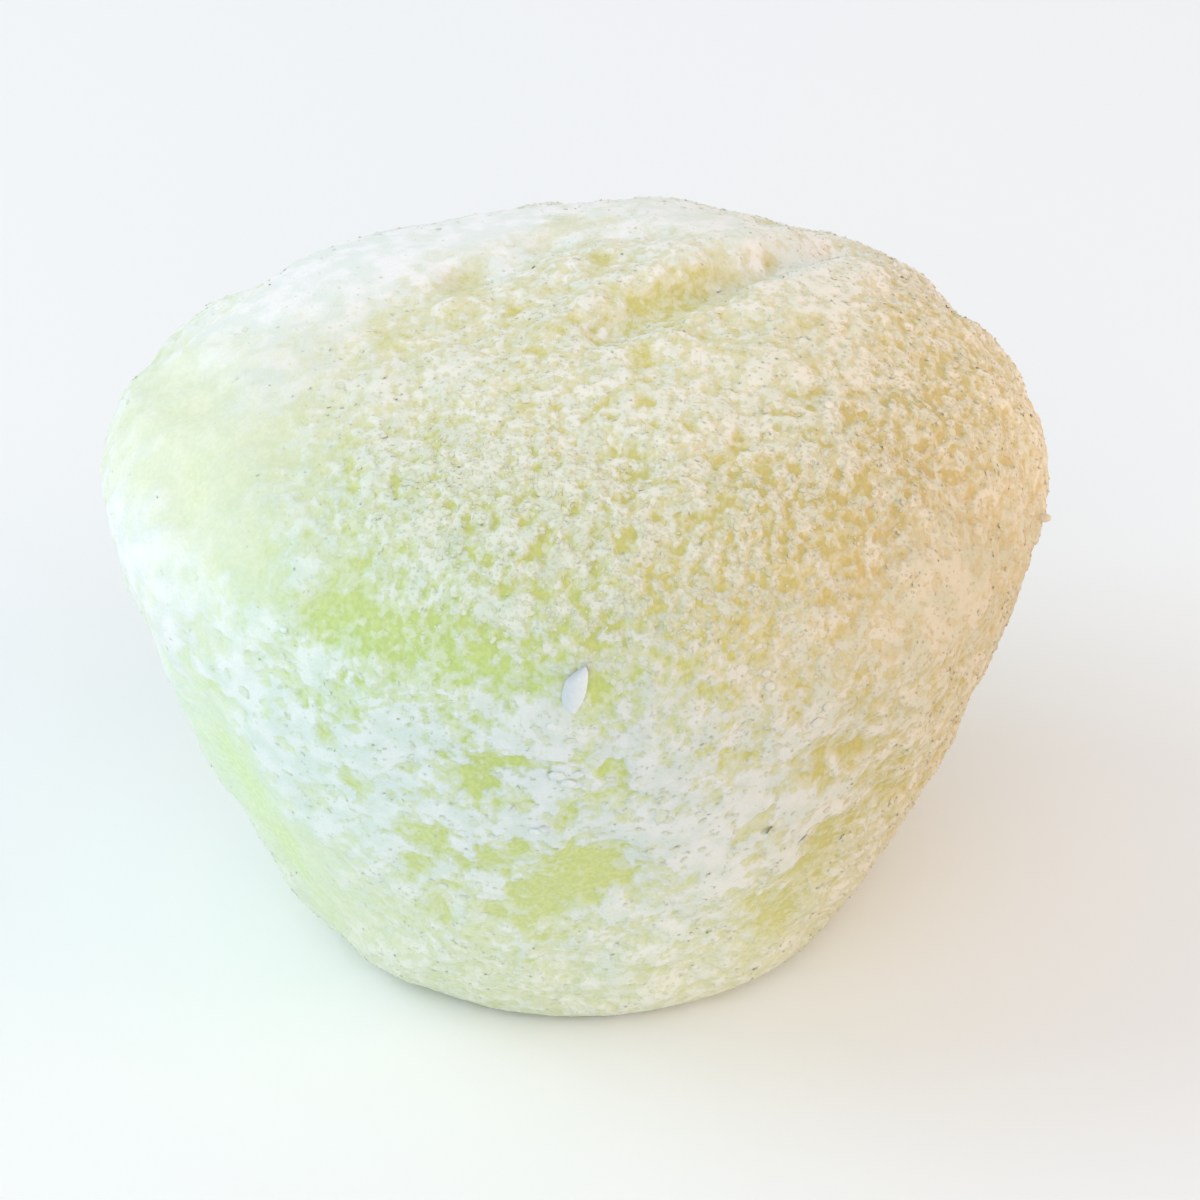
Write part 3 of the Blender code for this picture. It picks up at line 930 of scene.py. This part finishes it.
def octahedron():
    """Points and faces of a pointed block of eight triangles, one unit across."""
    points = np.array(((1, 0, 0), (-1, 0, 0), (0, 1, 0), (0, -1, 0), (0, 0, 1), (0, 0, -1)), float) / 2
    upper = ((0, 2, 4), (2, 1, 4), (1, 3, 4), (3, 0, 4))
    lower = ((2, 0, 5), (1, 2, 5), (3, 1, 5), (0, 3, 5))
    return points, np.array(upper + lower)


def icosphere(subdivisions):
    """Points and faces of a round ball of triangles, one unit across."""
    shape = bmesh.new()
    bmesh.ops.create_icosphere(shape, subdivisions=subdivisions, radius=0.5)
    points = np.array([vertex.co for vertex in shape.verts])
    faces = np.array([[vertex.index for vertex in face.verts] for face in shape.faces])
    shape.free()
    return points, faces


def flake_shape():
    """Thin flat piece with a sharp angular rim and an open underside, one unit across and thick."""
    turn = np.arange(FLAKE_CORNERS) * 2 * math.pi / FLAKE_CORNERS
    ring = np.column_stack((np.cos(turn) / 2, np.sin(turn) / 2))
    rim = np.column_stack((ring, np.full(FLAKE_CORNERS, -0.5)))
    table = np.column_stack((ring * FLAKE_TOP_WIDTH, np.full(FLAKE_CORNERS, FLAKE_TOP_HEIGHT)))
    middle = np.array(((0.0, 0.0, 0.5),))
    top = 2 * FLAKE_CORNERS
    faces = []
    for side in range(FLAKE_CORNERS):
        after = (side + 1) % FLAKE_CORNERS
        faces.append((side, after, FLAKE_CORNERS + after))
        faces.append((side, FLAKE_CORNERS + after, FLAKE_CORNERS + side))
        faces.append((FLAKE_CORNERS + side, FLAKE_CORNERS + after, top))
    return np.concatenate((rim, table, middle)), np.array(faces)


def scatter(name, kind, template, material, skin, weight):
    """One joined mesh of many frost pieces that sit on the skin."""
    count = kind["count"]
    sizes = spread_sizes(kind)
    triangles = np.concatenate((skin["quads"][:, (0, 1, 2)], skin["quads"][:, (0, 2, 3)]))
    corners = skin["points"][triangles]
    cross = np.cross(corners[:, 1] - corners[:, 0], corners[:, 2] - corners[:, 0])
    area = np.linalg.norm(cross, axis=1) / 2
    chance = area * weight[triangles].mean(axis=1)
    picked = rng.choice(len(triangles), count, p=chance / chance.sum())
    share = rng.random((count, 2))
    flip = share.sum(axis=1) > 1
    share[flip] = 1 - share[flip]
    shares = np.column_stack((1 - share.sum(axis=1), share))
    middle = (corners[picked] * shares[:, :, None]).sum(axis=1)
    up = cross[picked] / np.linalg.norm(cross[picked], axis=1)[:, None]
    up = up + rng.normal(0, math.tan(math.radians(kind["lean"])), (count, 3))
    up /= np.linalg.norm(up, axis=1)[:, None]
    aside = rng.normal(0, 1, (count, 3))
    aside -= (aside * up).sum(axis=1)[:, None] * up
    aside /= np.linalg.norm(aside, axis=1)[:, None]
    onward = np.cross(up, aside)
    shape, faces = template
    jitter = 1 + rng.uniform(-kind["uneven"], kind["uneven"], (count, len(shape), 3))
    local = shape[None] * jitter * sizes[:, None, :]
    local[:, :, 2] += (sizes[:, 2] * (0.5 - kind["sunk"]))[:, None]
    axes = np.stack((aside, onward, up), axis=1)
    points = middle[:, None, :] + np.einsum("nvk,nkc->nvc", local, axes)
    points[:, :, 2] = np.maximum(points[:, :, 2], LEAST_HEIGHT)
    own = shape[None] / sizes[:, None, :]
    own[:, :, 2] = np.abs(own[:, :, 2])
    own = np.einsum("nvk,nkc->nvc", own, axes)
    own /= np.linalg.norm(own, axis=2)[:, :, None]
    normals = blended(own, skin["outward"][triangles[picked, 0]][:, None, :], SOFT_FROST_SHADING)
    shift = (np.arange(count) * len(shape))[:, None, None]
    all_faces = (faces[None] + shift).reshape(-1, 3)
    corner = triangles[picked, 0]
    proud = (local[:, :, 2] / sizes[:, 2][:, None]).clip(0, 1)
    # Painted light: the foot of each piece takes the dough's colour, as light through the thin ice and off
    # the dough would give it
    icy = DOUGH_TINTED_FOOT + (ICY_TOP - DOUGH_TINTED_FOOT) * smooth_step(0.0, ICY_FROM, proud)[:, :, None]
    tint = skin["frost_colour_and_shade"][corner] * rng.uniform(*TINT_SPREAD, count)[:, None]
    colour = skin["dough_colour_and_shade"][corner][:, None, :] * (1 - icy) + tint[:, None, :] * icy
    attributes = {"frost_colour_and_shade": np.clip(colour, 0, 1).reshape(-1, 3)}
    return make_object(name, points.reshape(-1, 3), all_faces, normals.reshape(-1, 3), material, attributes)


def spread_sizes(kind):
    """Many small pieces and few large ones: length, width and height of each in mm."""
    count = kind["count"]
    least, most = kind["lengths"]
    base, rise = kind["heights"]
    length = least + (most - least) * rng.random(count) ** kind["bias"]
    width = length * rng.uniform(*kind["widths"], count)
    height = base + rise * length * rng.uniform(*HEIGHT_SPREAD, count)
    return np.column_stack((length, width, height))


def chance_of(kind, amount, crusty):
    """How likely a piece is at each point, for the amount of its kind and of crust there."""
    return (kind["anywhere"] + amount ** kind["gathering"]) * (kind["on_bare"] + crusty)


def make_frost(skin):
    """Grains, crystals and flakes, each where the frost has them."""
    crusty = smooth_step(*CRUSTY, skin["crust"])
    above = smooth_step(*CLEAR_OF_FLOOR, skin["points"][:, 2])
    off_plates = 1 - LESS_GRAIN_ON_PLATES * skin["flaky"]
    grain = frost_material(*GRAIN_LOOK)
    milky = frost_material(*FLAKE_LOOK)
    chance = chance_of(GRAINS, skin["grain"], crusty) * above * off_plates
    scatter("frost_grains", GRAINS, octahedron(), grain, skin, chance)
    chance = chance_of(CRYSTALS, skin["grain"], crusty) * above * off_plates
    scatter("frost_crystals", CRYSTALS, icosphere(1), grain, skin, chance)
    chance = chance_of(FLAKES, skin["flaky"], crusty) * above
    scatter("frost_flakes", FLAKES, flake_shape(), milky, skin, chance)


def make_lumps(skin):
    """The lumps of frost that can be told apart in the photograph, as one mesh."""
    shape, faces = icosphere(2)
    points = []
    normals = []
    colours = []
    for pixel, (length, width, height) in LUMPS:
        index = skin["photograph"].nearest(pixel)
        outward, sideways, upward = skin["photograph"].directions(index)
        uneven = shape * (1 + rng.uniform(-LUMP_UNEVENNESS, LUMP_UNEVENNESS, shape.shape))
        lump = np.outer(uneven[:, 0] * length, sideways) + np.outer(uneven[:, 1] * width, upward)
        lump += np.outer((uneven[:, 2] + LUMP_RAISED) * height, outward)
        points.append(skin["points"][index] + lump)
        own = lump + np.outer(np.abs(lump @ outward) - lump @ outward, outward)
        normals.append(blended(own / np.linalg.norm(own, axis=1)[:, None], outward, SOFT_FROST_SHADING))
        colours.append(np.tile(skin["frost_colour_and_shade"][index] * LUMP_BRIGHTNESS, (len(shape), 1)))
    shift = np.repeat(np.arange(len(LUMPS)) * len(shape), len(faces))[:, None]
    all_faces = np.tile(faces, (len(LUMPS), 1)) + shift
    look = frost_material(*LUMP_LOOK)
    colour = {"frost_colour_and_shade": np.clip(np.concatenate(colours), 0, 1)}
    make_object("frost_lumps", np.concatenate(points), all_faces, np.concatenate(normals), look, colour)


def make_standing_flake(skin):
    """The pointed flake as a thin, slightly curved blade, its colour painted lighter towards the right edge
    and darker towards the left, as light falls on it.
    """
    index = skin["photograph"].nearest(STANDING_FLAKE_PIXEL)
    outward, sideways, upward = skin["photograph"].directions(index)
    upward = STANDING_FLAKE_LEANS_OUT * outward + upward
    upward /= np.linalg.norm(upward)
    facing = np.cross(sideways, upward)
    ups, middles, halves = np.array(STANDING_FLAKE_OUTLINE).T
    points = []
    normals = []
    painted_light = []
    for side in (1, -1):
        for row in range(STANDING_FLAKE_ROWS + 1):
            up = row / STANDING_FLAKE_ROWS
            middle = np.interp(up, ups, middles)
            half = np.interp(up, ups, halves)
            for column in range(STANDING_FLAKE_COLUMNS + 1):
                across = column / STANDING_FLAKE_COLUMNS * 2 - 1
                flat = 1 - across * across
                out = side * STANDING_FLAKE_THICKNESS / 2 * flat * (1 - up ** 3)
                clear = min(1.0, up / STANDING_FLAKE_FOOT)
                out += (STANDING_FLAKE_BOW * flat + STANDING_FLAKE_SUNK) * clear - STANDING_FLAKE_SUNK
                place = (middle + across * half) * sideways + up * STANDING_FLAKE_LENGTH * upward
                points.append(place + out * facing)
                rounded = STANDING_FLAKE_ROUNDNESS * across * sideways
                normals.append(side * facing + rounded + STANDING_FLAKE_FACES_OUT * outward)
                # Painted light: lighter towards the right edge of the blade, darker towards the left
                painted_light.append(1 + STANDING_FLAKE_PAINTED_LIGHT_RIGHT * across)
    faces = []
    across = STANDING_FLAKE_COLUMNS + 1
    for side in (0, 1):
        first = side * (STANDING_FLAKE_ROWS + 1) * across
        for row in range(STANDING_FLAKE_ROWS):
            for column in range(STANDING_FLAKE_COLUMNS):
                corner = first + row * across + column
                quad = (corner, corner + 1, corner + across + 1, corner + across)
                faces.append(quad[::-1] if side else quad)
    points = skin["points"][index] + np.array(points) - STANDING_FLAKE_LOWERED * upward
    normals = np.array(normals) / np.linalg.norm(normals, axis=1)[:, None]
    colour = {"frost_colour_and_shade": np.outer(painted_light, linear(STANDING_FLAKE_COLOUR))}
    look = frost_material(*BLADE_LOOK)
    make_object("standing_flake", points, np.array(faces), normals, look, colour)


def floor_material():
    """Plain matt white."""
    look = Nodes("pale_floor")
    look.shader.inputs["Base Color"].default_value = (*linear(FLOOR_COLOUR), 1.0)
    look.shader.inputs["Roughness"].default_value = FLOOR_ROUGHNESS
    look.shader.inputs["Specular IOR Level"].default_value = FLOOR_SPECULAR
    return look.material


def make_floor():
    """A wide pale floor, just below the foot."""
    bpy.ops.mesh.primitive_plane_add(size=FLOOR_SIDE * MM, location=(0, 0, -FLOOR_DROP * MM))
    floor = bpy.context.object
    floor.name = "floor"
    floor.data.materials.append(floor_material())


def aim_at(thing, place, target):
    """Put a light or a camera at a place and turn it towards a target."""
    thing.location = place
    thing.rotation_euler = (Vector(target) - Vector(place)).to_track_quat("-Z", "Y").to_euler()


def add_light(name, azimuth, elevation, distance, size, power, colour):
    """Square soft light that faces the ball; azimuth 0 is towards +X and 90 towards +Y."""
    lamp = bpy.data.lights.new(name, "AREA")
    lamp.shape = "SQUARE"
    lamp.size = size
    lamp.energy = power
    lamp.color = colour
    holder = bpy.data.objects.new(name, lamp)
    bpy.context.scene.collection.objects.link(holder)
    azimuth = math.radians(azimuth)
    elevation = math.radians(elevation)
    out = distance * math.cos(elevation)
    place = (out * math.cos(azimuth), out * math.sin(azimuth), distance * math.sin(elevation))
    aim_at(holder, place, (0, 0, LIGHTS_AIM_HEIGHT * MM))


def make_lights():
    """Bright, almost shadowless room, a little cooler on the left and warmer on the right."""
    for soft_box in SOFT_BOXES:
        add_light(*soft_box)
    world = bpy.data.worlds.new("pale_room")
    world.use_nodes = True
    room = world.node_tree.nodes["Background"]
    room.inputs["Color"].default_value = (*ROOM_COLOUR, 1.0)
    room.inputs["Strength"].default_value = ROOM_STRENGTH
    bpy.context.scene.world = world


def make_camera():
    """The camera, where the photograph was taken from."""
    lens = bpy.data.cameras.new("camera")
    lens.sensor_width = SENSOR
    lens.lens = CAMERA_FOCAL_PIXELS / PHOTO_SIZE * SENSOR
    lens.clip_start = NEAREST_SEEN * MM
    camera = bpy.data.objects.new("camera", lens)
    bpy.context.scene.collection.objects.link(camera)
    aim = np.array(CAMERA_AIM) - np.array((*FOOT_MIDDLE, 0.0))
    place = aim + CAMERA_DISTANCE * camera_axes()[2]
    aim_at(camera, place * MM, aim * MM)
    bpy.context.scene.camera = camera


bpy.context.scene.view_settings.view_transform = "Standard"
make_camera()
make_lights()
make_floor()
ball = make_skin()
make_frost(ball)
make_lumps(ball)
make_standing_flake(ball)
